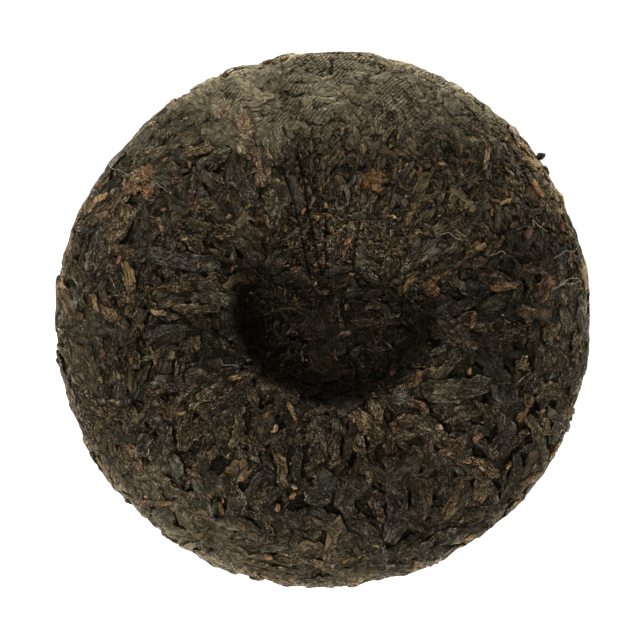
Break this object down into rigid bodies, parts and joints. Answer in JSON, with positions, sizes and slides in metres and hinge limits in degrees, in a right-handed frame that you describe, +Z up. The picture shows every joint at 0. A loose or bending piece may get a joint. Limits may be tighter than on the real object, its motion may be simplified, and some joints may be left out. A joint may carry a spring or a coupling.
{
  "type": "pressed tea cake",
  "caption": "Round flat cake of dark fermented tea leaves pressed in a tied cloth, with a deep knot dimple in one face and a rounded rim.",
  "frame": {"origin": "on the flat spot under the middle of the cake", "axes": "+X to the picture's right, +Y to the picture's top, +Z up out of the dimpled face"},
  "size_m": [0.201, 0.2017, 0.027],
  "materials": {
    "pressed_leaf": "matt dark brown pressed tea leaf with paler bud flecks"
  },
  "bodies": {
    "root": {"tea_cake": "pressed_leaf"}
  },
  "joints": []
}
